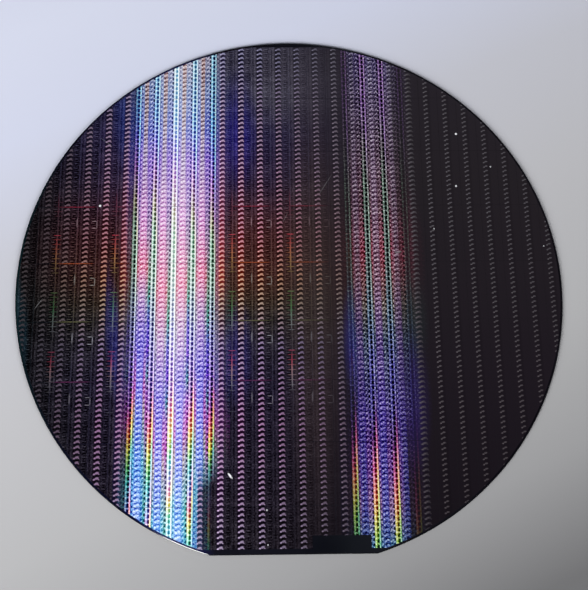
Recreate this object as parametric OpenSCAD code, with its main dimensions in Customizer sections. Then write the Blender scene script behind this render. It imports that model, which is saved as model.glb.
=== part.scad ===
// Silicon wafer: a thin round slice of silicon with a ground edge, an orientation flat
// and a patterned front.
// The back lies on z = 0 and the patterned front looks along +Z. The Z axis runs through
// the centre of the round outline, and the flat faces -Y.

/* [Slice] */
// Diameter of the round outline
wafer_d = 200; // [150:1:300]
// Thickness of the silicon, from the back to the bare front
wafer_t = 0.725; // [0.6:0.005:0.9]
// Length of the orientation flat
flat_len = 57.5; // [30:0.5:80]

/* [Ground edge] */
// Width of the bevel ground along the edge of each face
bevel_w = 0.3; // [0.2:0.01:0.35]
// Angle between a bevel and its face, in degrees
bevel_angle = 22; // [15:1:26]
// Radius that rounds each bevel into the upright nose of the edge
nose_r = 0.12; // [0.04:0.01:0.15]

/* [Patterned films] */
// Height of the films above the bare silicon
film_t = 0.01; // [0.004:0.001:0.02]
// Width of the bare ring between the films and the round edge
edge_margin = 0.85; // [0.5:0.05:5]
// Width of the bare strip between the films and the flat
flat_margin = 1.9; // [0.5:0.1:5]

/* [Chips] */
// Chip pitch across the wafer
chip_w = 7.18; // [5:0.01:12]
// Chip pitch up the wafer
chip_h = 1.85; // [1.2:0.01:4]
// Chips up one exposure field
field_rows = 12; // [6:1:20]
// Width of the scribe streets cut through the films
street_w = 0.12; // [0.05:0.01:0.3]
// Distance of the street nearest the centre from the Y axis
street_x = 0.25; // [-2:0.05:2]
// Distance of the field street nearest the centre from the X axis
street_y = 9.45; // [-10:0.05:10]

/* [Circuit banks] */
// Width of the raised bank of circuits that runs down each column of chips
bank_w = 2.3; // [0.5:0.05:3.2]
// Distance of the bank's centre line from the street on its left
bank_x = 2.95; // [2:0.05:3.2]
// Height of the banks above the films
bank_t = 0.004; // [0.001:0.001:0.01]

/* [Mark window] */
// Width of the clear window by the flat, where the wafer's serial mark goes
window_w = 20.3; // [5:0.1:25]
// Distance of the window's far side from the flat
window_h = 6.3; // [3:0.1:12]
// Distance of the window's centre line from the Y axis
window_x = 16.6; // [-18:0.1:18]

/* [Hidden] */
$fn = 180;

wafer_r = wafer_d / 2;
flat_y = sqrt(wafer_r * wafer_r - flat_len * flat_len / 4);
bevel_h = bevel_w * tan(bevel_angle);
nose_set = nose_r * tan((90 - bevel_angle) / 2);

film_r = wafer_r - edge_margin;
film_y = flat_y - flat_margin;
field_h = field_rows * chip_h;
columns = ceil(wafer_r / chip_w);
fields = ceil(wafer_r / field_h);

// Half of the slice's section: +X points out at the edge, +Y from the back to the front.
// edge_x is the distance from the section's left side to the nose of the edge.
module edge_section(edge_x) {
    bevel_x = nose_set * cos(bevel_angle);
    bevel_y = nose_set * sin(bevel_angle);
    polygon([
        [0, 0],
        [edge_x - bevel_w, 0],
        [edge_x - bevel_x, bevel_h - bevel_y],
        [edge_x, bevel_h + nose_set],
        [edge_x, wafer_t - bevel_h - nose_set],
        [edge_x - bevel_x, wafer_t - bevel_h + bevel_y],
        [edge_x - bevel_w, wafer_t],
        [0, wafer_t]
    ]);
    for (y = [bevel_h + nose_set, wafer_t - bevel_h - nose_set])
        translate([edge_x - nose_r, y])
            circle(r = nose_r);
}

// The bare slice: the section turned round the axis, and cut to the flat by the same
// section drawn straight across the wafer.
module slice() {
    intersection() {
        rotate_extrude()
            edge_section(wafer_r);
        translate([-wafer_r, wafer_r, 0])
            rotate([90, 0, 90])
                linear_extrude(wafer_d)
                    mirror([1, 0])
                        edge_section(wafer_r + flat_y);
    }
}

// Everything inside the bare ring and the bare strip, less the mark window
module film_outline() {
    difference() {
        intersection() {
            circle(r = film_r);
            translate([-film_r, -film_y])
                square([2 * film_r, film_y + film_r]);
        }
        translate([window_x - window_w / 2, -flat_y])
            square([window_w, window_h]);
    }
}

// A street up the wafer beside each column of chips
module column_streets() {
    for (i = [-columns:columns])
        translate([street_x + i * chip_w - street_w / 2, -wafer_r])
            square([street_w, wafer_d]);
}

// A street across the wafer between each row of fields and the next
module field_streets() {
    for (j = [-fields:fields])
        translate([-wafer_r, street_y + j * field_h - street_w / 2])
            square([wafer_d, street_w]);
}

module film_blocks() {
    difference() {
        film_outline();
        column_streets();
        field_streets();
    }
}

// A bank up the middle of each column of chips, broken at the field streets
module bank_strips() {
    difference() {
        intersection() {
            film_outline();
            for (i = [-columns:columns])
                translate([street_x + i * chip_w + bank_x - bank_w / 2, -wafer_r])
                    square([bank_w, wafer_d]);
        }
        field_streets();
    }
}

module wafer() {
    color("#26262c")
        slice();
    color("#2c2430")
        translate([0, 0, wafer_t])
            linear_extrude(film_t)
                film_blocks();
    color("#6a5a78")
        translate([0, 0, wafer_t + film_t])
            linear_extrude(bank_t)
                bank_strips();
}

wafer();
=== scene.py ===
"""Looks of the silicon wafer: a polished slice with a ground edge, and the patterned films on its front.

Sizes are in millimetres and MM turns them to metres. They repeat the part's own named sizes, and the
overall ones come from the bounds of the imported model.glb."""
import math
from types import SimpleNamespace

import bmesh
import bpy
from mathutils import Matrix, Vector


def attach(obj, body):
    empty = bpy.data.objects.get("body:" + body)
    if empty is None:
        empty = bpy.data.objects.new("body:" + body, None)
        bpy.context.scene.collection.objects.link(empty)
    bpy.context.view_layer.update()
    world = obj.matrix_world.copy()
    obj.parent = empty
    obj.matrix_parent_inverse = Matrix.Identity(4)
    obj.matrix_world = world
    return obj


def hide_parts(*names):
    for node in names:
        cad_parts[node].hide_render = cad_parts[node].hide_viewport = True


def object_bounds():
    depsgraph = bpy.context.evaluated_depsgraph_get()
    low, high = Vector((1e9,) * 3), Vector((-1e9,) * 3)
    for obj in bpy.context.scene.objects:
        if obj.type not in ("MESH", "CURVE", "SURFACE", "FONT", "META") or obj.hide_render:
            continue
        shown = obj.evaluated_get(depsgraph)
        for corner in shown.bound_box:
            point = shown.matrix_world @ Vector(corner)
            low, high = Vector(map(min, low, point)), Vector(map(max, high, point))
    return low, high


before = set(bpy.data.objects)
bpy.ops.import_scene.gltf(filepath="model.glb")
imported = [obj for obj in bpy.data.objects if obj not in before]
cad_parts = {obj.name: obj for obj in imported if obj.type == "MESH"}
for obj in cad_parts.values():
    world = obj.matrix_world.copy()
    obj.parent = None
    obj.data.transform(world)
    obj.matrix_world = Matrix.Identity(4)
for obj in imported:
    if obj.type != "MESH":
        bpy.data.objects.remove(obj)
cad_low, cad_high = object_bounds()

MM = 0.001

# The slice
RADIUS = cad_high.x / MM
FLAT_Y = -cad_low.y / MM
TOP_Z = cad_high.z / MM
FILM_T = 0.01
BANK_T = 0.004
WAFER_T = TOP_Z - FILM_T - BANK_T
BEVEL_W = 0.3
BEVEL_ANGLE = 22
BEVEL_H = BEVEL_W * math.tan(math.radians(BEVEL_ANGLE))
NOSE_R = 0.12
# How far the corner of a bevel and the upright edge is set back to take the nose's arc
NOSE_SET = NOSE_R * math.tan(math.radians((90 - BEVEL_ANGLE) / 2))

# The films
EDGE_MARGIN = 0.85
FLAT_MARGIN = 1.9
FILM_R = RADIUS - EDGE_MARGIN
FILM_Y = FLAT_Y - FLAT_MARGIN
CHIP_W = 7.18
CHIP_H = 1.85
STREET_W = 0.12
STREET_X = 0.25
STREET_Y = 9.45
BANK_X = 2.95
BANK_W = 2.3
FIELD_COLUMNS = 3
FIELD_ROWS = 12
FIELD_W = FIELD_COLUMNS * CHIP_W
FIELD_H = FIELD_ROWS * CHIP_H
FIELDS_UP = 9  # fields up a column, to the topmost street that crosses the films
FIELDS_BELOW = 5  # how many of them lie below the field street at STREET_Y

# The mark window, with WINDOW_H from the flat to its far side
WINDOW_X = 16.6
WINDOW_W = 20.3
WINDOW_H = 6.3

# Modelling
ROUND_SIDES = 256  # straight sides that stand for the round outline
NOSE_STEPS = 4
SMOOTH_ANGLE = 9  # degrees between faces up to which they are shaded as one
LEVEL = 0.9  # a face lies level if the upright share of its normal is above this
BISECT_GAP = 1e-7  # metres
CUTTER_T = 2  # thickness of the block that cuts the films to their outline
WINDOW_SPARE = 10  # how far the block that cuts the window runs past the flat

# Maps for baking: a column of fields lies in strips side by side, and each face of the slice on a disc
MAP_STRIPS = 3
STRIP_FIELDS = FIELDS_UP / MAP_STRIPS
FRONT_DISC = (0.443, 0.438)  # centre along both axes of the map, and radius
BACK_DISC = (0.853, 0.143)
DISC_SPARE = 1  # millimetres round the wafer, so that its edge lies on the disc too


# --- tools ---


def start_edit():
    """Goes into edit mode on the new primitive."""
    bpy.ops.object.mode_set(mode="EDIT")


def end_edit():
    """Goes back to object mode."""
    bpy.ops.object.mode_set(mode="OBJECT")


def pick(kind, test):
    """Selects the vertices, edges or faces of the piece being edited that pass the test."""
    bpy.ops.mesh.select_mode(type=kind)
    bpy.ops.mesh.select_all(action="DESELECT")
    mesh = bmesh.from_edit_mesh(bpy.context.object.data)
    parts = {"VERT": mesh.verts, "EDGE": mesh.edges, "FACE": mesh.faces}[kind]
    for part in parts:
        if test(part):
            part.select_set(True)
    bmesh.update_edit_mesh(bpy.context.object.data)


def apply_all(piece):
    """Applies the piece's modifiers."""
    bpy.ops.object.select_all(action="DESELECT")
    piece.select_set(True)
    bpy.context.view_layer.objects.active = piece
    for modifier in list(piece.modifiers):
        bpy.ops.object.modifier_apply(modifier=modifier.name)


def near(a, b, gap=0.001):
    """Two heights in metres agree within gap, in millimetres."""
    return abs(a - b) < gap * MM


def cut(piece, tool, operation):
    """Cuts the piece with the tool and keeps the tool."""
    modifier = piece.modifiers.new("cut", "BOOLEAN")
    modifier.operation = operation
    modifier.solver = "MANIFOLD"
    modifier.object = tool
    apply_all(piece)


def start_plate(radius, thickness, middle_z, flat_y):
    """A round plate, cut to a flat at flat_y from the centre and left in edit mode."""
    bpy.ops.object.select_all(action="DESELECT")
    bpy.ops.mesh.primitive_cylinder_add(
        vertices=ROUND_SIDES, radius=radius * MM, depth=thickness * MM, location=(0, 0, middle_z * MM)
    )
    bpy.ops.object.transform_apply(location=True, rotation=True, scale=True)
    start_edit()
    bpy.ops.mesh.select_all(action="SELECT")
    bpy.ops.mesh.bisect(
        plane_co=(0, -flat_y * MM, 0),
        plane_no=(0, -1, 0),
        use_fill=True,
        clear_outer=True,
        threshold=BISECT_GAP,
    )
    return bpy.context.object


def add_box(centre, size):
    """A box with this centre and size."""
    bpy.ops.object.select_all(action="DESELECT")
    bpy.ops.mesh.primitive_cube_add(
        size=1, location=[value * MM for value in centre], scale=[value * MM for value in size]
    )
    bpy.ops.object.transform_apply(location=True, rotation=True, scale=True)
    return bpy.context.object


# --- the slice ---


def bevel_face(piece, face_z, step):
    """Insets a level face of the piece being edited, and moves the rim round it by the bevel's height."""
    pick("FACE", lambda face: abs(face.normal.z) > LEVEL and near(face.calc_center_median().z, face_z))
    bpy.ops.mesh.inset(thickness=BEVEL_W * MM, use_even_offset=True)
    bpy.ops.mesh.select_all(action="INVERT")
    mesh = bmesh.from_edit_mesh(piece.data)
    inner = {vert for face in mesh.faces if not face.select for vert in face.verts}
    rim = {vert.index for vert in mesh.verts if vert not in inner and near(vert.co.z, face_z)}
    pick("VERT", lambda vert: vert.index in rim)
    bpy.ops.transform.translate(value=(0, 0, step))


def make_slice():
    """A round plate cut to the flat, bevelled on both faces, with the bevels rounded into the nose."""
    piece = start_plate(RADIUS, WAFER_T, WAFER_T / 2, FLAT_Y)
    piece.name = "slice"
    for face_z, step in ((WAFER_T, -BEVEL_H), (0, BEVEL_H)):
        bevel_face(piece, face_z * MM, step * MM)
    for nose_z in (WAFER_T - BEVEL_H, BEVEL_H):
        pick("EDGE", lambda edge: all(near(vert.co.z, nose_z * MM) for vert in edge.verts))
        bpy.ops.mesh.bevel(offset=NOSE_SET * MM, offset_type="OFFSET", segments=NOSE_STEPS, affect="EDGES")
    end_edit()
    bpy.ops.object.shade_smooth_by_angle(angle=math.radians(SMOOTH_ANGLE))
    return piece


# --- the films ---


def make_outline():
    """The outline of the films as a thick cutting block: round, cut to the flat, less the mark window."""
    piece = start_plate(FILM_R, CUTTER_T, WAFER_T, FILM_Y)
    end_edit()
    window = add_box(
        (WINDOW_X, -FLAT_Y + WINDOW_H / 2 - WINDOW_SPARE / 2, WAFER_T),
        (WINDOW_W, WINDOW_H + WINDOW_SPARE, 2 * CUTTER_T),
    )
    cut(piece, window, "DIFFERENCE")
    bpy.data.objects.remove(window)
    return piece


def make_block(x, y):
    """One column of chips in one exposure field: a low block of film with the raised bank down it."""
    piece = add_box(
        (x + CHIP_W / 2, y + FIELD_H / 2, WAFER_T + FILM_T / 2),
        (CHIP_W - STREET_W, FIELD_H - STREET_W, FILM_T),
    )
    bank_low = (x + BANK_X - BANK_W / 2) * MM
    bank_high = (x + BANK_X + BANK_W / 2) * MM
    start_edit()
    for side in (bank_low, bank_high):
        bpy.ops.mesh.select_all(action="SELECT")
        bpy.ops.mesh.bisect(plane_co=(side, 0, 0), plane_no=(1, 0, 0), threshold=BISECT_GAP)
    pick("FACE", lambda face: face.normal.z > LEVEL and bank_low < face.calc_center_median().x < bank_high)
    bpy.ops.mesh.extrude_region_move(TRANSFORM_OT_translate={"value": (0, 0, BANK_T * MM)})
    end_edit()
    return piece


def make_films(outline):
    """The films, one piece for each column of exposure fields."""
    first = math.floor((-FILM_R - STREET_X) / FIELD_W)
    last = math.floor((FILM_R - STREET_X) / FIELD_W)
    base_y = STREET_Y - FIELDS_BELOW * FIELD_H
    pieces = []
    for number, index in enumerate(range(first, last + 1), start=1):
        base_x = STREET_X + index * FIELD_W
        piece = make_block(base_x, base_y)
        piece.name = f"films_{number}"
        for count, step in ((FIELD_COLUMNS, (CHIP_W, 0, 0)), (FIELDS_UP, (0, FIELD_H, 0))):
            row = piece.modifiers.new("row", "ARRAY")
            row.use_relative_offset = False
            row.use_constant_offset = True
            row.constant_offset_displace = Vector(step) * MM
            row.count = count
        apply_all(piece)
        cut(piece, outline, "INTERSECT")
        map_films(piece, base_x, base_y)
        pieces.append(piece)
    return pieces


def map_films(piece, base_x, base_y):
    """Lays the piece flat on its map, in strips side by side."""
    length = STRIP_FIELDS * FIELD_H
    top = TOP_Z * MM
    layer = piece.data.uv_layers.new(name="OFBake")
    for face in piece.data.polygons:
        part = min(MAP_STRIPS - 1, max(0, int((face.center.y / MM - base_y) / length)))
        for loop in face.loop_indices:
            place = piece.data.vertices[piece.data.loops[loop].vertex_index].co
            out = face.normal * (top - place.z)
            x = (place.x + out.x) / MM - base_x + part * FIELD_W
            y = (place.y + out.y) / MM - base_y - part * length
            layer.data[loop].uv = (x / (MAP_STRIPS * FIELD_W), y / length)


def map_slice(piece):
    """Maps the front, with the upper half of the edge round it, to one disc, and the back to another."""
    layer = piece.data.uv_layers.new(name="OFBake")
    middle = WAFER_T / 2
    for face in piece.data.polygons:
        back = face.center.z / MM < middle
        centre, reach = BACK_DISC if back else FRONT_DISC
        for loop in face.loop_indices:
            place = piece.data.vertices[piece.data.loops[loop].vertex_index].co / MM
            depth = place.z if back else WAFER_T - place.z
            spread = 1 + depth / RADIUS
            layer.data[loop].uv = [
                centre + value * spread * reach / (RADIUS + DISC_SPARE) for value in (place.x, place.y)
            ]


# --- materials ---


def linear(colour):
    """An sRGB hex colour as the linear values that the shaders take."""
    parts = [int(colour[i : i + 2], 16) / 255 for i in (1, 3, 5)]
    return [c / 12.92 if c <= 0.04045 else ((c + 0.055) / 1.055) ** 2.4 for c in parts] + [1]


def node(tree, kind, feeds=(), stops=None, **settings):
    """Adds a node, sets it up, feeds its inputs in order, and gives a ramp its stops."""
    made = tree.nodes.new("ShaderNode" + kind)
    for name, value in settings.items():
        setattr(made, name, value)
    sockets = [socket for socket in made.inputs if socket.enabled]
    pairs = feeds.items() if isinstance(feeds, dict) else enumerate(feeds)
    for place, feed in pairs:
        socket = made.inputs[place] if isinstance(place, str) else sockets[place]
        if isinstance(feed, bpy.types.Node):
            feed = next(out for out in feed.outputs if out.enabled)
        if isinstance(feed, bpy.types.NodeSocket):
            tree.links.new(feed, socket)
        else:
            socket.default_value = feed
    for number, (place, colour) in enumerate(stops or ()):
        elements = made.color_ramp.elements
        stop = elements[number] if number < 2 else elements.new(place)
        stop.position = place
        stop.color = linear(colour) if isinstance(colour, str) else [colour] * 3 + [1]
    return made


def new_material(name):
    """An empty material and its node tree."""
    material = bpy.data.materials.new(name)
    material.use_nodes = True
    tree = material.node_tree
    tree.nodes.clear()
    return material, tree


def span(stops):
    """Stops given in millimetres from the centre, as shares of a ramp that runs over RAMP_SPAN."""
    return [((place + RAMP_REACH) / (2 * RAMP_REACH), colour) for place, colour in stops]


def mix_ramps(tree, share, first, second, data_type="RGBA"):
    """One ramp turning into another as the share goes from 0 to 1. Each is a place and its stops."""
    ramps = [node(tree, "ValToRGB", [place], stops=span(stops)) for place, stops in (first, second)]
    return node(tree, "Mix", [share, *ramps], data_type=data_type)


def mark(tree, place, centre, half, tilt=0, soft=0.35):
    """1 inside a soft-edged oval mark, and 0 outside it."""
    if tilt:
        inside = node(tree, "Mapping", {
            "Vector": place,
            "Location": (*centre, 0),
            "Rotation": (0, 0, math.radians(tilt)),
            "Scale": (*half, 1),
        }, vector_type="TEXTURE")
    else:
        shares = (1 / half[0], 1 / half[1], 0)
        shift = (-centre[0] / half[0], -centre[1] / half[1], 0)
        inside = node(tree, "VectorMath", [place, shares, shift], operation="MULTIPLY_ADD")
    size = node(tree, "VectorMath", [inside], operation="LENGTH")
    return node(
        tree, "MapRange", [size, 1 + soft, 1 - soft, 0.0, 1.0], interpolation_type="SMOOTHSTEP", clamp=False
    )


def strongest(tree, levels):
    """The greatest of several levels at each point."""
    greatest, *others = levels
    for level in others:
        greatest = node(tree, "Math", [greatest, level], operation="MAXIMUM")
    return greatest


def flashes(tree, place, ground, marks):
    """How deep the light goes at each point of a chip: the ground's depth, with the marks laid over it."""
    depth = ground
    for centre, half, tilt, mark_depth in marks.values():
        share = mark(tree, place, centre, half, tilt)
        depth = node(tree, "Mix", [share, depth, mark_depth], data_type="FLOAT")
    return depth


# --- the pattern on the films ---

# The ramps run from one side of the wafer to the other, and from the flat up
RAMP_REACH = 100.0
RAMP_SPAN = (-RAMP_REACH, RAMP_REACH, 0.0, 1.0)
# Centre line of the cells right of the bank, from the street on their left
BLOCK_X = 5.4
# The glass and the oxide on the front, and how much of their shine shows
OXIDE_IOR = 1.46
FILM_SHINE = 0.15
SILICON_SHINE = 0.3

# The colours that the light takes along the wafer, from the flat up, in millimetres from the centre.
# A grating of fine lines sends each colour another way, so each kind of line runs through the spectrum.
FIRST_STREET = [
    (-99, "#50b4d0"), (-94, "#58c898"), (-89, "#e4d860"), (-84, "#e080a0"), (-78, "#a0a0e0"),
    (-70, "#48c0c0"), (-66, "#78c87c"), (-61, "#dcd858"), (-56, "#e8a058"), (-51, "#d85c90"),
    (-45, "#9054b0"), (-34, "#9070cc"), (-20, "#9490cc"), (6, "#b0c8bc"), (24, "#a8ccb8"),
    (34, "#c4c0a4"), (48, "#b880c8"), (60, "#8c80e0"), (72, "#70b0e0"), (94, "#88c0d8"),
]
FIRST_GLYPH = [
    (-94, "#a8c0ec"), (-80, "#7cace4"), (-50, "#9c98e4"), (-34, "#9488dc"), (-10, "#ccacd0"),
    (4, "#e6a0be"), (15, "#e0a8cc"), (28, "#dcb0dc"), (50, "#b8a8c8"), (70, "#b0a0a8"), (94, "#a88888"),
]
FIRST_BLOCK = [
    (-94, "#5090d0"), (-76, "#64b0cc"), (-58, "#a898a0"), (-50, "#bc6cbc"), (-34, "#8c84cc"),
    (-12, "#a8a0b4"), (3, "#cc8498"), (20, "#a88cb0"), (50, "#a080d4"), (62, "#7c84cc"), (80, "#8c9cc4"),
    (94, "#a09cb0"),
]
# The lines at the right of each chip, which run through purer colours than the cells beside them
FIRST_RAIL = [
    (-94, "#3c98b8"), (-80, "#54a8a0"), (-62, "#8c90b0"), (-50, "#b040b0"), (-41, "#a868c8"),
    (-34, "#3490a0"), (-25, "#7838d0"), (-14, "#6458d0"), (-4, "#30a090"), (5, "#84a494"),
    (20, "#a490b4"), (94, "#a09cb0"),
]
SECOND_STREET = [
    (-96, "#60a880"), (-88, "#a8c870"), (-80, "#d8c878"), (-74, "#e09880"), (-68, "#c46090"),
    (-62, "#803878"), (-57, "#543072"), (-48, "#504890"), (-32, "#504c98"), (-12, "#5c7088"),
    (6, "#687474"), (40, "#607468"), (56, "#6c646c"), (74, "#74548c"),
]
SECOND_GLYPH = [
    (-94, "#3c5890"), (-80, "#48489c"), (-50, "#4c3c94"), (-20, "#604c84"), (4, "#805c70"),
    (40, "#786078"), (92, "#5c5474"),
]
SECOND_BLOCK = [
    (-94, "#4a7898"), (-80, "#80608c"), (-68, "#683c88"), (-48, "#4c3c80"), (-20, "#445064"),
    (-8, "#605854"), (12, "#863c4e"), (30, "#5a3c48"), (60, "#504054"), (92, "#50466c"),
]
# Where no grating flashes, only the wave of metal in each chip shows, and a faint glow on the dark ground
SHADE_GLYPH = [
    (-92, "#80728a"), (-50, "#967096"), (-22, "#867496"), (-6, "#a08878"), (4, "#b8866e"),
    (18, "#b47680"), (48, "#9c7e9c"), (92, "#7c7894"),
]
SHADE_GROUND = [
    (-90, "#1a161d"), (-64, "#1c1723"), (-36, "#1d1829"), (-22, "#24202c"), (-6, "#28231c"),
    (2, "#2e201a"), (20, "#301d22"), (62, "#262040"), (92, "#302e3e"),
]
RIGHT_GLYPH = [(-90, "#70666c"), (-40, "#8c8288"), (30, "#98929a")]
RIGHT_GROUND = [(-90, "#151116"), (-36, "#1c171d"), (40, "#231f23"), (90, "#272329")]

# How much of each zone of a chip flashes, across the wafer, above the rainbow and below it. The lower
# shares take over below LOW_START, and LOW_SLOPE is how much of them a millimetre brings.
STREET_FLASH = [
    (-59, 0), (-56.8, 1), (-28.5, 1), (-25, 0), (18, 0), (21.8, 0.25), (27, 1), (38, 1), (41, 0.2),
    (45, 0.12), (47, 0),
]
STREET_FLASH_LOW = [
    (-59.5, 0), (-56.8, 1), (-35.7, 1), (-28.5, 0), (18, 0), (21.8, 0.55), (27, 1), (37, 0.85), (41, 0.1),
    (46, 0),
]
GLYPH_FLASH = [
    (-61.4, 0), (-54.3, 1), (-32.7, 1), (-25.5, 0), (17.6, 0), (24.7, 0.7), (31.9, 1), (39.1, 0.6),
    (46.3, 0),
]
GLYPH_FLASH_LOW = [
    (-61.4, 0), (-54.3, 1), (-39.9, 1), (-32.7, 0.05), (-25.5, 0), (17.6, 0), (24.7, 0.75), (31.9, 0.9),
    (39.1, 0.5), (46.3, 0),
]
BLOCK_FLASH = [
    (-64, 0), (-59, 0.14), (-51.8, 1), (-30.3, 1), (-23.1, 0.04), (-16, 0), (20, 0), (27.2, 1), (34.4, 1),
    (41.6, 0.3), (48.8, 0),
]
BLOCK_FLASH_LOW = [
    (-64, 0), (-59, 0.1), (-51.8, 1), (-37.4, 1), (-30.3, 0.03), (-23.1, 0), (20, 0), (27.2, 1),
    (34.4, 0.85), (41.6, 0.03), (48.8, 0),
]
# The depth of the colour across the wafer, as a share of FULL_DEPTH: low where the flash is strong and
# washed out
FULL_DEPTH = 3.0
STREET_DEPTH = [
    (-62, 1), (-57, 0.88), (-50, 0.44), (-46, 0.3), (-42.8, 0.12), (-39, 0.27), (-34, 0.42), (-30, 0.62),
    (-27, 0.8), (22, 0.85), (29, 0.68), (33, 0.64), (37, 0.72), (43, 0.9),
]
CHIP_DEPTH = [
    (-62, 0.75), (-57, 0.52), (-50, 0.4), (-46, 0.36), (-42, 0.3), (-38, 0.33), (-34, 0.4), (-30, 0.5),
    (-27, 0.56), (22, 0.5), (29, 0.45), (33, 0.42), (37, 0.45), (43, 0.5),
]
# How far the street colours are moved down the wafer, from column to column, above the centre, at the
# rainbow and by the edge. NO_MOVE leaves them where they are, and 1 moves them 20 mm.
NO_MOVE = 0.5
MOVE_REACH = 0.2
MOVE_HIGH = [(-57, 0.5), (-50, 0.55), (-43, 0.62), (-36, 0.65), (-28.5, 0.75), (-20, 0.5)]
MOVE_MIDDLE = [
    (-57, 0.46), (-50, 0.5), (-43, 0.36), (-36, 0.4), (-28.5, 0.46), (-20, 0.5), (21.8, 0.4), (29, 0.46),
    (36.2, 0.5), (43.4, 0.56),
]
MOVE_LOW = [
    (-57, 0.6), (-50, 0.62), (-43, 0.2), (-36, 0.4), (-28.5, 0.46), (-20, 0.5), (21.8, 0.38), (29, 0.58),
    (36.2, 0.62), (43.4, 0.8),
]
# The same for the waves and cells between the streets of the first band, and for the lines at the right
# of each chip
MOVE_GLYPH = [(-61.4, 0.5), (-54.2, 0.15), (-47.1, 0.7), (-39.9, 0.6), (-32.7, 0.42), (-25.5, 0.5)]
MOVE_RAIL = [(-54.2, 0.46), (-47.1, 0.74), (-39.9, 0.5), (-32.7, 0.7)]
# How brightly the waves of metal show in the shade, across the wafer, as a share of FULL_WAVE
FULL_WAVE = 2.0
WAVE_LEVEL = [
    (-92, 0.08), (-83, 0.16), (-76, 0.28), (-69, 0.42), (-61, 0.56), (-25, 0.7), (-18, 0.58), (-11, 0.47),
    (-4, 0.34), (3, 0.27), (10, 0.21), (18, 0.18), (46, 0.13), (95, 0.1),
]

# The marks inside a chip where the gratings flash: centre and half size in millimetres, from the
# street on the left and the row line below, the tilt in degrees, and the depth of colour. Below 1 a
# mark flashes towards white, and above 1 it goes deep and dark. They are drawn as coarse as they need
# to be to show: the real lines are finer than a micrometre.
STREET_MARKS = {
    "left_line": ((-0.66, 0.9), (0.24, 9), 0, 0.4),
    "right_line": ((0.72, 0.9), (0.26, 9), 0, 0.28),
    "bridge": ((0.05, 1.65), (0.6, 0.2), 0, 0.4),
    "pad": ((0.12, 0.7), (0.44, 0.62), 0, 3.8),
    "left_bead": ((-0.68, 1.6), (0.26, 0.34), 0, 0.14),
    "right_bead": ((0.76, 0.7), (0.26, 0.4), 0, 0.12),
}
SIDE_MARKS = {
    "bar": ((1.12, 0.9), (0.16, 9), 0, 1.7),
    "bay": ((1.5, 0.4), (0.34, 0.3), 0, 1.9),
    "tooth": ((1.55, 1.3), (0.34, 0.34), 0, 0.5),
}
# Above the wave, two dark marks at its left and at its right make a painted shadow arc
GLYPH_MARKS = {
    "painted_shadow": ((2.75, 1.5), (0.75, 0.22), 22, 2.8),
    "tail": ((3.95, 1.35), (0.5, 0.2), -30, 2.6),
    "lobe": ((2.55, 0.56), (0.42, 0.28), 10, 0.24),
    "crest": ((3.45, 0.94), (0.62, 0.34), 20, 0.45),
}
RAIL_MARKS = {
    "well": ((5.95, 1.15), (0.4, 0.5), 0, 3.2),
    "link": ((5.95, 0.3), (0.4, 0.3), 0, 0.5),
}
BLOCK_MARKS = {
    "well": ((5.95, 1.15), (0.4, 0.52), 0, 4.0),
    "rail": ((6.42, 0.9), (0.16, 9), 0, 1.5),
    "notch": ((4.75, 1.5), (0.5, 0.2), 35, 2.0),
    "stem": ((5.6, 0.35), (0.5, 0.2), -30, 0.5),
    "stroke": ((4.95, 0.75), (0.7, 0.2), 42, 0.3),
}
# The marks in the shade, where they only show as faint lines on the dark ground
SHADE_MARKS = {
    "left_seam": ((0.8, 0.9), (0.2, 9), 0, 1.14),
    "side": ((1.5, 0.9), (0.35, 9), 0, 0.86),
    "right_seam": ((6.6, 0.9), (0.2, 9), 0, 1.14),
    "low_cell": ((6.05, 0.45), (0.65, 0.28), 0, 1.3),
    "high_cell": ((6.1, 1.45), (0.6, 0.25), 0, 1.22),
    "rung": ((5.85, 0.95), (0.65, 0.14), 0, 0.8),
    "rung_end": ((5.25, 1.1), (0.12, 0.3), 0, 0.8),
    "street": ((0.1, 0.9), (0.2, 9), 0, 0.9),
}
# The zones of a chip, and those by its nearer street, each taller than a chip: centre, half size, tilt and
# softness of the edge
CHIP_ZONES = {
    "wide_glyph": ((3.05, 0.9), (1.25, 90), 0, 0.12),
    "narrow_glyph": ((3.05, 0.9), (0.75, 90), 0, 0.12),
    "block": ((5.1, 0.9), (1.35, 90), 0, 0.12),
    "rail": ((5.85, 0.9), (0.7, 90), 0, 0.2),
}
STREET_ZONES = {
    "side": ((1.75, 0.9), (0.85, 90), 0, 0.12),
    "street": ((0.0, 0.9), (1.0, 90), 0, 0.12),
}
# The wave of metal in each chip in the shade, as most columns have it and as those at the far right do,
# its brightest part, where a highlight is painted, and the painted shadow round it, a darker copy of the
# wave's colour: centre, half size, tilt and softness
WAVE = {
    "lobe": ((2.6, 0.5), (0.42, 0.3), 15),
    "crest": ((3.5, 0.92), (0.7, 0.38), 18),
    "tail": ((4.1, 0.62), (0.4, 0.2), -35),
}
RIGHT_WAVE = {
    "lobe": ((2.15, 0.52), (0.36, 0.28), 25, 0.4),
    "crest": ((3.0, 0.96), (0.55, 0.28), 8, 0.4),
}
LOBE_HIGHLIGHT = ((2.58, 0.5), (0.36, 0.24), 15, 0.5)
WAVE_SHADOW = ((3.2, 0.9), (1.15, 9), 0, 0.3)
WAVE_SHADOW_DEPTH = 4.4
RIGHT_WAVE_SHADOW_SHARE = 0.15
# The alignment marks of each exposure field, which catch the light in the shade: centre and half size
# from the field's corner, from -10.8 to 10.8 mm across and from -11.1 to 11.1 mm up, tilt and softness
MASTS = {
    "mast": ((0, 3.5), (0.18, 7.6), 0, 0.2),
    "mast_head": ((0, 11), (1.3, 0.14), 0, 0.2),
}
POSTS = {
    "post": ((7.18, -6.2), (0.18, 2.2), 0, 0.2),
    "bracket_side": ((-7.1, -7.1), (0.17, 1.5), 0, 0.2),
    "bracket_top": ((-8.0, -5.7), (0.9, 0.13), 0, 0.2),
    "bracket_foot": ((-8.0, -8.4), (0.9, 0.13), 0, 0.2),
}
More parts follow.
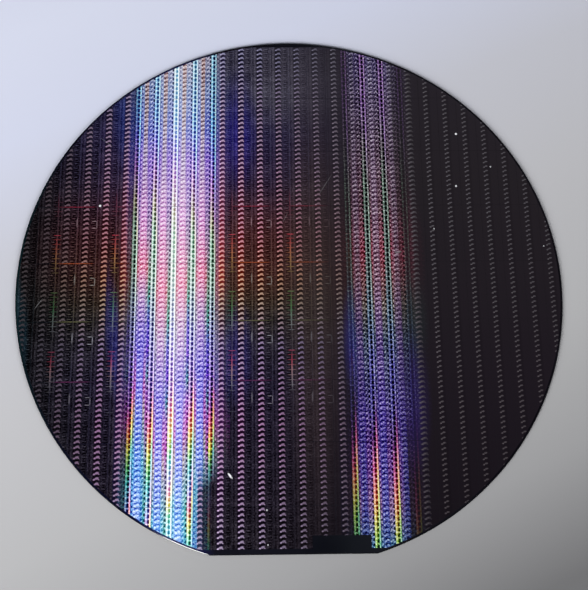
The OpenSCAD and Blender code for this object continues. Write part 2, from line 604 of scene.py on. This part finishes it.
# The ticks at each row beside a mast, and the height that they keep to
TICK = ((0, 0.12), (1.5, 0.13))
TICK_AREA = ((0, 3.5), (3, 7.6), 0, 0.1)
TICK_LEVEL = 0.45
# The grid's rung in the chip, and its bridge over the street and line down it
RUNG = ((5.8, 0.95), (0.65, 0.14))
BRIDGE = ((0, 0.1), (0.9, 0.13))
STREET_LINE = ((0.1, 0.9), (0.17, 9))
# The street between two fields, from the lower left corner of the upper one
ROAD = ((7.2, 0), (7.6, 0.15))
# The light on those marks, on the grid of streets and rungs and on the field streets, and how much of it
# across the wafer
MAST_LIGHT = [
    (-50, "#000000"), (-42, "#505058"), (-36, "#88848c"), (-31, "#a88084"), (-28, "#b84458"),
    (-24, "#902c48"), (-17, "#90909a"), (-12, "#7c8c84"), (-8, "#347c48"), (-2, "#447440"),
    (5, "#988850"), (12, "#b47c4c"), (17, "#c05048"), (21, "#b83048"), (27, "#802c40"), (40, "#000000"),
]
POST_LIGHT = [
    (-60, "#000000"), (-42, "#706c74"), (-16, "#8c8c94"), (4, "#848078"), (14, "#8c7470"),
    (27, "#8c747c"), (40, "#504850"), (52, "#000000"),
]
GRID_LIGHT = [
    (-90, "#0c0c10"), (-50, "#14141a"), (-30, "#242430"), (-10, "#3c382c"), (6, "#503c30"),
    (22, "#483034"), (45, "#28283c"), (90, "#242430"),
]
ROAD_LIGHT = [
    (-50, "#000000"), (-35, "#702c5c"), (-24, "#282830"), (-13, "#707048"), (0, "#303028"),
    (9.5, "#b8582c"), (20, "#301c1c"), (31.6, "#9c2840"), (44, "#000000"),
]
LINE_LEVEL = [
    (-90, 0.04), (-83, 0.8), (-64, 0.9), (-60, 0.2), (-27, 0.2), (-21, 0.9), (1, 0.85), (8, 0.4),
    (15, 0.15), (34, 0),
]
# Dust and scratches: centre, half size, tilt and strength
DUST = "#e8e8ec"
BLEMISHES = {
    "right_speck": ((64.3, 60.8), (0.4, 0.4), 0, 1.0),
    "lower_right_speck": ((63.1, 39.3), (0.35, 0.35), 0, 0.9),
    "far_right_speck": ((76.7, 47.1), (0.28, 0.28), 0, 0.55),
    "middle_right_speck": ((53.9, 22.2), (0.26, 0.26), 0, 0.45),
    "edge_speck": ((94.5, 15.1), (0.24, 0.24), 0, 0.45),
    "left_speck": ((-70.5, 32.1), (0.42, 0.42), 0, 1.0),
    "flake": ((-21.8, -68.8), (0.35, 1.15), 38, 1.0),
    "low_speck": ((-9.1, -80.7), (0.3, 0.3), 0, 0.6),
    "flat_speck": ((-8.8, -92.5), (0.2, 0.25), 0, 0.7),
    "dash": ((40.1, 13.1), (1.3, 0.14), 4, 0.3),
    "long_scratch": ((13.6, 40.0), (0.14, 4.5), -32, 0.07),
    "short_scratch": ((-1.5, 27.0), (0.12, 1.8), -25, 0.07),
    "left_scratch": ((-91.5, -6.0), (0.12, 2.2), -35, 0.12),
    "edge_scratch": ((-69.0, 58.0), (2.8, 0.12), -38, 0.08),
}
# Soft glows of painted light on the dark ground: centre, half size, tilt and colour
GLOW_SOFT = 0.8
GLOW_SHARE = 0.45
GLOWS = {
    "blue_by_first_band": ((-19, 63), (5, 17), 0, "#221c80"),
    "blue_left_of_first_band": ((-61, 66), (4, 22), 8, "#1c3078"),
    "light_haze": ((-6, 78), (7, 5), -12, "#4c4c5a"),
    "grey_at_the_top": ((-2, 82), (16, 16), 0, "#4a4650"),
    "red_left": ((-68, 14), (18, 17), 0, "#300e12"),
    "red_middle": ((-12, 14), (16, 17), 0, "#48201c"),
    "violet_left": ((-64, -18), (2.2, 17), 6, "#202470"),
    "violet_middle": ((-19, -25), (4, 13), 0, "#282264"),
    "grey_between_the_bands": ((8, -2), (8, 58), 0, "#3e3230"),
    "teal_left": ((-97.5, -14), (2, 13), 6, "#183440"),
    "red_by_second_band": ((22, 4), (6, 26), 0, "#2c1a1c"),
    "red_right_of_second_band": ((43, 12), (4, 22), 0, "#381c24"),
    "blue_by_second_band": ((23, -20), (3, 14), 0, "#242878"),
    "teal_right_of_second_band": ((44, -12), (4, 12), 0, "#1c2c2c"),
    "violet_right_of_second_band": ((43, -42), (4, 18), 0, "#281c58"),
}

# The grey that covers the left columns, on the ground and on the waves
LEFT_GROUND = "#222125"
LEFT_GLYPH = "#84808a"

# The fine grain's cells in a millimetre, and what is added to a chip's corner to draw its own
FINE_SCALE = 1.9
CHIP_SEED = (0.5, 0.5, 0.5)

# How one measure turns into another: from, to, and what they become
TO_SECOND_BAND = (-8.0, -7.0, 0.0, 1.0)  # across: from the first band's colours to the second's
LOW_START = (-38.0, -7.0, -66.0, -44.0)  # across: the height where the lower shares take over
LOW_SLOPE = 0.08
TO_HIGH_MOVE = (-30.0, 30.0, 0.0, 1.0)  # up: the moves above the centre
TO_LOW_MOVE = (-62.0, -82.0, 0.0, 1.0)  # down: the moves by the edge
RIGHT_LEAD = (-40.0, 20.0, -0.04, 0.06)  # up: how far the right line's colours lie above the left's
TO_RIGHT_LINE = (0.3, 0.5, 0.0, 1.0)  # from the street: from the left line to the right one
CELL_MOVE_REACH = (20.0, -15.0, 0.0, 0.2)  # down: how far the cells' colours move
CHIP_GRAIN = (0.0, 1.0, 0.9, 1.1)
FLASH_GRAIN = (0.3, 0.7, 0.5, 1.56)
SHADE_GRAIN = (0.3, 0.7, 0.8, 1.22)
TO_RIGHT_SHADE = (-20.0, 30.0, 0.0, 1.0)  # across: the ground
TO_RIGHT_WAVES = (-8.0, 42.0, 0.0, 1.0)  # across: the colour of the waves
TO_RIGHT_SHAPE = (38.0, 48.0, 0.0, 1.0)  # across: the shape of the waves
LEFT_GREY = (-99.0, -72.0, 0.85, 0.0)  # across: how much of the grey covers the left columns
LEFT_DIM = (-94.0, -58.0, 0.32, 1.0)  # across: the brightness of the ground
LOBE_HIGHLIGHT_GAIN = (-62.0, -30.0, 1.1, 1.75)  # across: how much brighter the painted highlight on the wave's lobe is
WAVE_SHADOW_SHARE = (-92.0, -52.0, 0.4, 0.92)  # across: how dark the painted shadow round the wave is
DRAW_IN = (30.0, 60.0, 0.0, 1.0)  # up: from the wide zone of the waves to the narrow one
RAIL_SHARE = (30.0, 10.0, 0.0, 0.85)  # down: how much of the rail's own colours shows
FILM_ROUGHNESS = (0.0, 1.0, 0.16, 0.3)  # from the ground to the waves
# The second band is calmer: how far its marks give way to one depth
SECOND_CALM = 0.22
CALM_DEPTH = 0.76


def in_tile(tree, across, up):
    """The place in a tile of the pattern, from its own corner, out of the two wrapped measures."""
    corner = (-STREET_X, -STREET_Y, 0)
    return node(tree, "VectorMath", [node(tree, "CombineXYZ", [across, up]), corner], operation="ADD")


def find_places(tree):
    """Where each point is, in millimetres: on the wafer, in its chip from the street on its left, and by
    the nearer street, both up from the row line. The measures for the ramps are shares of RAMP_SPAN."""
    at = SimpleNamespace()
    place = node(tree, "TexCoord").outputs["Object"]
    at.wafer = node(tree, "Mapping", {"Vector": place, "Scale": (1 / MM, 1 / MM, 0)})
    axes = node(tree, "SeparateXYZ", [at.wafer])
    at.x, at.y = axes.outputs[0], axes.outputs[1]

    from_left = node(tree, "Math", [at.x, STREET_X + CHIP_W, STREET_X], operation="WRAP")
    from_near = node(tree, "Math", [at.x, STREET_X + CHIP_W / 2, STREET_X - CHIP_W / 2], operation="WRAP")
    at.from_row = node(tree, "Math", [at.y, STREET_Y + CHIP_H, STREET_Y], operation="WRAP")
    at.in_chip = in_tile(tree, from_left, at.from_row)
    at.by_street = in_tile(tree, from_near, at.from_row)
    at.column = node(tree, "Math", [at.x, node(tree, "SeparateXYZ", [at.in_chip])], operation="SUBTRACT")
    street = node(tree, "Math", [at.x, node(tree, "SeparateXYZ", [at.by_street])], operation="SUBTRACT")

    at.along = node(tree, "MapRange", [at.y, *RAMP_SPAN])
    at.across = node(tree, "MapRange", [at.x, *RAMP_SPAN])
    at.street_across = node(tree, "MapRange", [street, *RAMP_SPAN])
    at.glyph_across, at.block_across = (
        node(tree, "MapRange", [at.column, -RAMP_REACH - centre, RAMP_REACH - centre, 0.0, 1.0])
        for centre in (BANK_X, BLOCK_X)
    )
    at.second = node(tree, "MapRange", [at.x, *TO_SECOND_BAND])
    return at


def light_streets(tree, at):
    """The colours of the lines by the streets. They move from column to column, and the right line runs
    behind the left one above the centre, and ahead of it in the rainbow."""
    high, middle, low = (
        node(tree, "ValToRGB", [at.street_across], stops=span(stops))
        for stops in (MOVE_HIGH, MOVE_MIDDLE, MOVE_LOW)
    )
    upper = node(tree, "MapRange", [at.y, *TO_HIGH_MOVE])
    lower = node(tree, "MapRange", [at.y, *TO_LOW_MOVE])
    move = node(tree, "Mix", [upper, middle, high], data_type="FLOAT")
    move = node(tree, "Mix", [lower, move, low], data_type="FLOAT")
    moved = node(tree, "Math", [move, MOVE_REACH, at.along], operation="MULTIPLY_ADD")
    left_along = node(tree, "Math", [moved, MOVE_REACH * NO_MOVE], operation="SUBTRACT")
    lead = node(tree, "MapRange", [at.y, *RIGHT_LEAD])
    right_along = node(tree, "Math", [left_along, lead], operation="ADD")
    on_right = node(tree, "MapRange", [node(tree, "SeparateXYZ", [at.by_street]), *TO_RIGHT_LINE])
    bands = [
        mix_ramps(tree, on_right, (left_along, stops), (right_along, stops))
        for stops in (FIRST_STREET, SECOND_STREET)
    ]
    return node(tree, "Mix", [at.second, *bands], data_type="RGBA")


def light_cells(tree, at):
    """The colours of the waves, of the cells and of the lines at the right of each chip. In the first band
    they move too, below the centre."""
    reach = node(tree, "MapRange", [at.y, *CELL_MOVE_REACH])
    lights = []
    for first_stops, second_stops, move_stops in (
        (FIRST_GLYPH, SECOND_GLYPH, MOVE_GLYPH),
        (FIRST_BLOCK, SECOND_BLOCK, MOVE_GLYPH),
        (FIRST_RAIL, SECOND_BLOCK, MOVE_RAIL),
    ):
        move = node(tree, "ValToRGB", [at.glyph_across], stops=span(move_stops))
        move = node(tree, "Math", [move, NO_MOVE], operation="SUBTRACT")
        moved = node(tree, "Math", [move, reach, at.along], operation="MULTIPLY_ADD")
        lights.append(mix_ramps(tree, at.second, (moved, first_stops), (at.along, second_stops)))
    return lights


def make_grain(tree, at):
    """The lines differ a little from chip to chip and inside a chip: the grain of the flashes, and the
    gentler one of the shade."""
    chip = node(tree, "VectorMath", [at.wafer, at.in_chip], operation="SUBTRACT")
    chip = node(tree, "VectorMath", [chip, CHIP_SEED], operation="ADD")
    per_chip = node(tree, "TexWhiteNoise", [chip], noise_dimensions="2D")
    fine = {"Vector": at.wafer, "Scale": FINE_SCALE, "Detail": 1.0}
    fine = node(tree, "TexNoise", fine, noise_dimensions="2D")
    chip_grain = node(tree, "MapRange", [per_chip, *CHIP_GRAIN])
    return [
        node(tree, "Math", [node(tree, "MapRange", [fine, *reach]), chip_grain], operation="MULTIPLY")
        for reach in (FLASH_GRAIN, SHADE_GRAIN)
    ]


def shade_ground(tree, at, grain, on_right, left_grey):
    """The dark ground of the shade, with the soft glows and the faint lines of each chip."""
    ground = mix_ramps(tree, on_right, (at.along, SHADE_GROUND), (at.along, RIGHT_GROUND))
    ground = node(tree, "Mix", [left_grey, ground, linear(LEFT_GROUND)], data_type="RGBA")
    left_dim = node(tree, "MapRange", [at.x, *LEFT_DIM])
    ground = node(tree, "VectorMath", {"Vector": ground, "Scale": left_dim}, operation="SCALE")
    for centre, half, tilt, glow_colour in GLOWS.values():
        glow = mark(tree, at.wafer, centre, half, tilt, GLOW_SOFT)
        glow = node(tree, "Math", [glow, GLOW_SHARE], operation="MULTIPLY")
        ground = node(tree, "Mix", [glow, ground, linear(glow_colour)], data_type="RGBA")
    depth = node(tree, "Math", [flashes(tree, at.in_chip, 1.0, SHADE_MARKS), grain], operation="MULTIPLY")
    depth = node(tree, "Mix", [on_right, depth, 1.0], data_type="FLOAT")
    return node(tree, "Gamma", [ground, depth])


def colour_waves(tree, at, left_grey):
    """The colour of the wave of metal in the shade."""
    to_right = node(tree, "MapRange", [at.x, *TO_RIGHT_WAVES], interpolation_type="SMOOTHSTEP")
    colour = mix_ramps(tree, to_right, (at.along, SHADE_GLYPH), (at.along, RIGHT_GLYPH))
    colour = node(tree, "Mix", [left_grey, colour, linear(LEFT_GLYPH)], data_type="RGBA")
    level = node(tree, "ValToRGB", [at.glyph_across], stops=span(WAVE_LEVEL))
    level = node(tree, "Math", [level, FULL_WAVE], operation="MULTIPLY")
    return node(tree, "VectorMath", {"Vector": colour, "Scale": level}, operation="SCALE")


def make_shade(tree, at, grain):
    """The shade: the wave of metal stands out from a dark ground. Also how much wave is at each point."""
    on_right = node(tree, "MapRange", [at.x, *TO_RIGHT_SHADE], interpolation_type="SMOOTHSTEP")
    left_grey = node(tree, "MapRange", [at.column, *LEFT_GREY])
    ground = shade_ground(tree, at, grain, on_right, left_grey)
    wave_colour = colour_waves(tree, at, left_grey)

    left_wave, right_wave = (
        strongest(tree, [mark(tree, at.in_chip, *shape) for shape in shapes.values()])
        for shapes in (WAVE, RIGHT_WAVE)
    )
    to_right_shape = node(tree, "MapRange", [at.column, *TO_RIGHT_SHAPE])
    wave = node(tree, "Mix", [to_right_shape, left_wave, right_wave], data_type="FLOAT")

    # The painted shadow round the wave: a darker copy of the wave's colour laid over the ground
    shadow_share = node(tree, "MapRange", [at.x, *WAVE_SHADOW_SHARE])
    shadow_share = node(tree, "Mix", [on_right, shadow_share, RIGHT_WAVE_SHADOW_SHARE], data_type="FLOAT")
    painted_shadow = node(tree, "Math", [mark(tree, at.in_chip, *WAVE_SHADOW), shadow_share], operation="MULTIPLY")
    shadow_colour = node(tree, "Gamma", [wave_colour, WAVE_SHADOW_DEPTH])
    shade = node(tree, "Mix", [painted_shadow, ground, shadow_colour], data_type="RGBA")

    # A painted highlight on the wave's lobe
    highlight_gain = node(tree, "MapRange", [at.column, *LOBE_HIGHLIGHT_GAIN])
    highlight_gain = node(tree, "Mix", [mark(tree, at.in_chip, *LOBE_HIGHLIGHT), 1.0, highlight_gain], data_type="FLOAT")
    lit_wave = node(tree, "VectorMath", {"Vector": wave_colour, "Scale": highlight_gain}, operation="SCALE")
    return node(tree, "Mix", [wave, shade, lit_wave], data_type="RGBA"), wave


def light_marks(tree, at):
    """The light on the alignment marks of the exposure fields, on the row ticks beside the masts, on the
    grid of streets and rungs, and on the streets between the fields."""
    field_x = node(tree, "Math", [at.x, STREET_X + FIELD_W / 2, STREET_X - FIELD_W / 2], operation="WRAP")
    field_y = node(tree, "Math", [at.y, STREET_Y + FIELD_H / 2, STREET_Y - FIELD_H / 2], operation="WRAP")
    road_x = node(tree, "Math", [at.x, STREET_X + FIELD_W, STREET_X], operation="WRAP")
    in_field = in_tile(tree, field_x, field_y)
    in_row = in_tile(tree, field_x, at.from_row)
    on_road = in_tile(tree, road_x, field_y)

    tick_area = mark(tree, in_field, *TICK_AREA)
    ticks = node(tree, "Math", [mark(tree, in_row, *TICK), tick_area], operation="MULTIPLY")
    ticks = node(tree, "Math", [ticks, TICK_LEVEL], operation="MULTIPLY")
    masts = strongest(tree, [ticks] + [mark(tree, in_field, *shape) for shape in MASTS.values()])
    posts = strongest(tree, [mark(tree, in_field, *shape) for shape in POSTS.values()])
    grid = strongest(tree, [
        mark(tree, at.in_chip, *RUNG),
        mark(tree, at.by_street, *BRIDGE),
        mark(tree, at.by_street, *STREET_LINE),
    ])
    road = mark(tree, on_road, *ROAD)

    light = (0.0, 0.0, 0.0)
    for level, stops in ((masts, MAST_LIGHT), (posts, POST_LIGHT), (grid, GRID_LIGHT), (road, ROAD_LIGHT)):
        glint = node(tree, "ValToRGB", [at.along], stops=span(stops))
        glint = node(tree, "VectorMath", {"Vector": glint, "Scale": level}, operation="SCALE")
        light = node(tree, "VectorMath", [light, glint], operation="MAXIMUM")
    level = node(tree, "ValToRGB", [at.across], stops=span(LINE_LEVEL))
    return node(tree, "VectorMath", {"Vector": light, "Scale": level}, operation="SCALE")


def find_depths(tree, at, grain):
    """The depth of colour of the streets' flashes and of the chips'."""
    depths = []
    for stops in (STREET_DEPTH, CHIP_DEPTH):
        depth = node(tree, "ValToRGB", [at.across], stops=span(stops))
        depth = node(tree, "Math", [depth, FULL_DEPTH], operation="MULTIPLY")
        depths.append(node(tree, "Math", [depth, grain], operation="MULTIPLY"))
    return depths


def find_shares(tree, at):
    """How much of the streets', the waves' and the cells' zones flashes."""
    low = node(tree, "MapRange", [at.x, *LOW_START])
    low = node(tree, "Math", [low, at.y], operation="SUBTRACT")
    low = node(tree, "Math", [low, LOW_SLOPE], operation="MULTIPLY")
    low = node(tree, "MapRange", [low, 0.0, 1.0, 0.0, 1.0])
    return [
        mix_ramps(tree, low, (place, high_stops), (place, low_stops), data_type="FLOAT")
        for place, high_stops, low_stops in (
            (at.across, STREET_FLASH, STREET_FLASH_LOW),
            (at.glyph_across, GLYPH_FLASH, GLYPH_FLASH_LOW),
            (at.block_across, BLOCK_FLASH, BLOCK_FLASH_LOW),
        )
    ]


def find_zones(tree, at):
    """The zones of a chip. Above the centre the waves draw in, and the flanks beside them flash instead."""
    zones = {name: mark(tree, at.in_chip, *shape) for name, shape in CHIP_ZONES.items()}
    zones |= {name: mark(tree, at.by_street, *shape) for name, shape in STREET_ZONES.items()}
    draw_in = node(tree, "MapRange", [at.y, *DRAW_IN])
    zones["glyph"] = node(
        tree, "Mix", [draw_in, zones["wide_glyph"], zones["narrow_glyph"]], data_type="FLOAT"
    )
    rail_share = node(tree, "MapRange", [at.y, *RAIL_SHARE])
    zones["rail"] = node(tree, "Math", [zones["rail"], rail_share], operation="MULTIPLY")
    return zones


def lay_flashes(tree, at, colour, grain):
    """The flashes of the two bands, laid over the shade zone by zone. Each has its light, the place that
    its marks count from, the depth between them, its marks, its area, the depth of colour and the share."""
    street_light = light_streets(tree, at)
    glyph_light, block_light, rail_light = light_cells(tree, at)
    street_depth, chip_depth = find_depths(tree, at, grain)
    street_share, glyph_share, block_share = find_shares(tree, at)
    zones = find_zones(tree, at)
    calm = node(tree, "Math", [at.second, SECOND_CALM], operation="MULTIPLY")
    for light, spot, between, marks, area, depth, share in (
        (block_light, at.in_chip, 1.0, BLOCK_MARKS, zones["block"], chip_depth, block_share),
        (rail_light, at.in_chip, 0.95, RAIL_MARKS, zones["rail"], chip_depth, block_share),
        (block_light, at.by_street, 0.8, SIDE_MARKS, zones["side"], chip_depth, street_share),
        (glyph_light, at.in_chip, 1.0, GLYPH_MARKS, zones["glyph"], chip_depth, glyph_share),
        (street_light, at.by_street, 0.8, STREET_MARKS, zones["street"], street_depth, street_share),
    ):
        marked = flashes(tree, spot, between, marks)
        marked = node(tree, "Mix", [calm, marked, CALM_DEPTH], data_type="FLOAT")
        marked = node(tree, "Math", [marked, depth], operation="MULTIPLY")
        flash = node(tree, "Gamma", [light, marked])
        zone = node(tree, "Math", [area, share], operation="MULTIPLY")
        colour = node(tree, "Mix", [zone, colour, flash], data_type="RGBA")
    return colour


def lay_blemishes(tree, at, colour):
    """Dust and scratches, on top of everything."""
    for centre, half, tilt, strength in BLEMISHES.values():
        blemish = mark(tree, at.wafer, centre, half, tilt)
        blemish = node(tree, "Math", [blemish, strength], operation="MULTIPLY")
        colour = node(tree, "Mix", [blemish, colour, linear(DUST)], data_type="RGBA")
    return colour


def make_films_material():
    """Patterned silicon: oxide, polysilicon and aluminium lines under clear glass passivation, grown and
    etched on a polished slice. Nearly black and glossy. The flashes of colour where the lines act as a
    grating are painted reflections in the base colour, and the shade between them is painted shade."""
    material, tree = new_material("passivated_circuit_films")
    at = find_places(tree)
    flash_grain, shade_grain = make_grain(tree, at)
    shade, wave = make_shade(tree, at, shade_grain)
    shade = node(tree, "VectorMath", [shade, light_marks(tree, at)], operation="ADD")
    colour = lay_flashes(tree, at, shade, flash_grain)
    colour = lay_blemishes(tree, at, colour)
    roughness = node(tree, "MapRange", [wave, *FILM_ROUGHNESS])
    shader = node(tree, "BsdfPrincipled", {
        "Base Color": colour,
        "Roughness": roughness,
        "IOR": OXIDE_IOR,
        "Specular IOR Level": FILM_SHINE,
    })
    node(tree, "OutputMaterial", [shader])
    return material


# --- the silicon ---

# How deep the looks of the front and of the back reach down the edge, and how deep they are whole
SKIN = 0.02
WHOLE_SKIN = 0.005
# The colours that the bare front mirrors, painted on it across the wafer, and the grey of the streets at
# its right
RING_REFLECTIONS = [
    (-99, "#0a1c20"), (-84, "#0a0c18"), (-60, "#0c0e26"), (-45, "#141848"), (-34, "#101238"),
    (-27, "#0c0c14"), (5, "#101118"), (20, "#14161b"), (40, "#0d0d12"), (95, "#0c0b10"),
]
RIGHT_STREETS = "#1c191d"
TO_RIGHT_STREETS = (0.68, 0.74, 0.0, 1.0)  # share across
STREETS_BLEND = 0.3  # how far in from the films' edge the grey is whole
CLOUD_SCALE = 0.02  # cells in a millimetre
REFLECTION_GRAIN = (0.35, 0.65, 0.92, 1.1)
GRIT_SCALE = 2.2
GROUND_EDGE = "#08080c"
ETCHED_BACK = [(0.3, "#55585c"), (0.7, "#64676b")]
BACK_ROUGHNESS = (0.3, 0.7, 0.5, 0.62)
POLISH = 0.12  # roughness of the front and the edge


def make_silicon_material():
    """Monocrystalline silicon under a thin oxide: the front polished nearly black, with the colours that it
    mirrors painted on it, a blue cast among them, the back lapped and etched to a matt grey, and the edge
    ground."""
    material, tree = new_material("oxidised_silicon")
    place = node(tree, "TexCoord").outputs["Object"]
    scaled = node(tree, "Mapping", {"Vector": place, "Scale": (1 / MM, 1 / MM, 1 / MM)})
    height = node(tree, "SeparateXYZ", [scaled]).outputs[2]
    grit = node(tree, "TexNoise", {"Vector": scaled, "Scale": GRIT_SCALE, "Detail": 4.0})
    cloud = node(tree, "TexNoise", {"Vector": scaled, "Scale": CLOUD_SCALE, "Detail": 2.0})
    front = node(tree, "MapRange", [height, WAFER_T - SKIN, WAFER_T - WHOLE_SKIN, 0.0, 1.0])
    back = node(tree, "MapRange", [height, SKIN, WHOLE_SKIN, 0.0, 1.0])
    across = node(tree, "MapRange", [node(tree, "SeparateXYZ", [scaled]), *RAMP_SPAN])
    # The reflections painted on the bare front, varying a little from place to place
    reflection = node(tree, "ValToRGB", [across], stops=span(RING_REFLECTIONS))
    ring = node(tree, "Gamma", [reflection, node(tree, "MapRange", [cloud, *REFLECTION_GRAIN])])
    radius = node(tree, "VectorMath", {"Vector": scaled}, operation="LENGTH")
    in_streets = node(tree, "Math", [
        node(tree, "MapRange", [radius, FILM_R, FILM_R - STREETS_BLEND, 0.0, 1.0]),
        node(tree, "MapRange", [across, *TO_RIGHT_STREETS]),
    ], operation="MULTIPLY")
    ring = node(tree, "Mix", [in_streets, ring, linear(RIGHT_STREETS)], data_type="RGBA")
    etched = node(tree, "ValToRGB", [grit], stops=ETCHED_BACK)
    colour = node(tree, "Mix", [front, linear(GROUND_EDGE), ring], data_type="RGBA")
    colour = node(tree, "Mix", [back, colour, etched], data_type="RGBA")
    roughness = node(tree, "MapRange", [grit, *BACK_ROUGHNESS])
    roughness = node(tree, "Mix", [back, POLISH, roughness], data_type="FLOAT")
    shader = node(tree, "BsdfPrincipled", {
        "Base Color": colour,
        "Roughness": roughness,
        "IOR": OXIDE_IOR,
        "Specular IOR Level": SILICON_SHINE,
    })
    node(tree, "OutputMaterial", [shader])
    return material


# --- the wafer ---

slice_piece = make_slice()
map_slice(slice_piece)
slice_piece.data.materials.append(make_silicon_material())
outline = make_outline()
films = make_films(outline)
bpy.data.objects.remove(outline)
films_material = make_films_material()
for piece in films:
    piece.data.materials.clear()
    piece.data.materials.append(films_material)
for piece in [slice_piece] + films:
    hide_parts("wafer")
    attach(piece, "root")


# --- floor, light and camera ---


# The floor, in metres, and the light and shade painted on it from its bright side to its dark one
FLOOR_SIZE = 6
FLOOR_TURN = 66
FLOOR_SPAN = (-0.16, 0.16, 0.0, 1.0)
FLOOR_PAINTED_LIGHT = [
    (0.07, "#d8dced"), (0.2, "#d0d4e6"), (0.34, "#c2c3cb"), (0.5, "#b8b8bb"), (0.66, "#ababac"),
    (0.8, "#949495"), (0.92, "#6a6a6b"),
]
# The lamps, in metres and watts: place, width, height, power, and whether the polished front mirrors them
LAMPS = {
    "window_lamp": ((-0.9, -0.9, 0.52), 0.6, 0.6, 22, False),
    "fill_lamp": ((0.95, -0.85, 0.52), 0.6, 0.6, 15, False),
    "edge_lamp": ((-0.372, -0.669, 0.747), 0.17, 0.07, 3, True),
}
# The room from the horizon up: pale walls and a dark ceiling
ROOM_COLOURS = [(0.0, "#dcdde2"), (0.45, "#b0b1b6"), (0.75, "#303034"), (1.0, "#1c1c20")]
# The camera: its place from the centre of the front, its lens, and the ways it looks and stands
CAMERA_PLACE = (-8.048, -122.72, 390.87)
CAMERA_FORWARD = (0.022936, 0.292275, -0.956059)
CAMERA_UP = (0.007657, 0.956231, 0.292511)
LENS = 68.31
SENSOR_W = 36
CLIP_START = 0.01


def make_floor():
    """A wide matt card under the wafer, with painted light on one side that fades to painted shade on the
    other.
    """
    bpy.ops.object.select_all(action="DESELECT")
    bpy.ops.mesh.primitive_plane_add(size=FLOOR_SIZE, location=(0, 0, 0))
    floor = bpy.context.object
    floor.name = "floor"
    material, tree = new_material("matt_card_painted_light")
    place = node(tree, "TexCoord").outputs["Object"]
    turned = node(tree, "Mapping", {"Vector": place, "Rotation": (0, 0, math.radians(FLOOR_TURN))})
    slope = node(tree, "MapRange", [node(tree, "SeparateXYZ", [turned]), *FLOOR_SPAN])
    colour = node(tree, "ValToRGB", [slope], stops=FLOOR_PAINTED_LIGHT)
    shader = node(tree, "BsdfPrincipled", {
        "Base Color": colour, "Roughness": 0.9, "Specular IOR Level": 0.1})
    node(tree, "OutputMaterial", [shader])
    floor.data.materials.append(material)


def make_lamp(name, place, width, height, power, mirrored):
    """A soft rectangular lamp that looks at the wafer's centre. The polished front only mirrors it if
    mirrored is true."""
    lamp = bpy.data.lights.new(name, "AREA")
    lamp.shape = "RECTANGLE"
    lamp.size = width
    lamp.size_y = height
    lamp.energy = power
    holder = bpy.data.objects.new(name, lamp)
    bpy.context.scene.collection.objects.link(holder)
    holder.location = place
    holder.rotation_euler = Vector(place).to_track_quat("Z", "Y").to_euler()
    holder.visible_glossy = mirrored


def make_world():
    """Pale walls and a dark ceiling, so that the polished front mirrors the ceiling."""
    world = bpy.data.worlds.new("studio")
    bpy.context.scene.world = world
    world.use_nodes = True
    tree = world.node_tree
    tree.nodes.clear()
    direction = node(tree, "TexCoord").outputs["Generated"]
    up = node(tree, "SeparateXYZ", [direction]).outputs[2]
    sky = node(tree, "ValToRGB", [up], stops=ROOM_COLOURS)
    back = node(tree, "Background", [sky, 1.0])
    node(tree, "OutputWorld", [back])


def make_camera():
    """The camera at its place, turned by its own three axes."""
    camera = bpy.data.cameras.new("camera")
    camera.lens = LENS
    camera.sensor_width = SENSOR_W
    camera.clip_start = CLIP_START
    holder = bpy.data.objects.new("camera", camera)
    bpy.context.scene.collection.objects.link(holder)
    x, y, height = CAMERA_PLACE
    place = Vector((x, y, height + WAFER_T)) * MM
    forward = Vector(CAMERA_FORWARD)
    right = forward.cross(Vector(CAMERA_UP)).normalized()
    above = right.cross(forward).normalized()
    holder.matrix_world = Matrix((
        (right.x, above.x, -forward.x, place.x),
        (right.y, above.y, -forward.y, place.y),
        (right.z, above.z, -forward.z, place.z),
        (0, 0, 0, 1),
    ))
    bpy.context.scene.camera = holder


make_floor()
make_world()
for name, settings in LAMPS.items():
    make_lamp(name, *settings)
make_camera()
bpy.context.scene.view_settings.view_transform = "Standard"
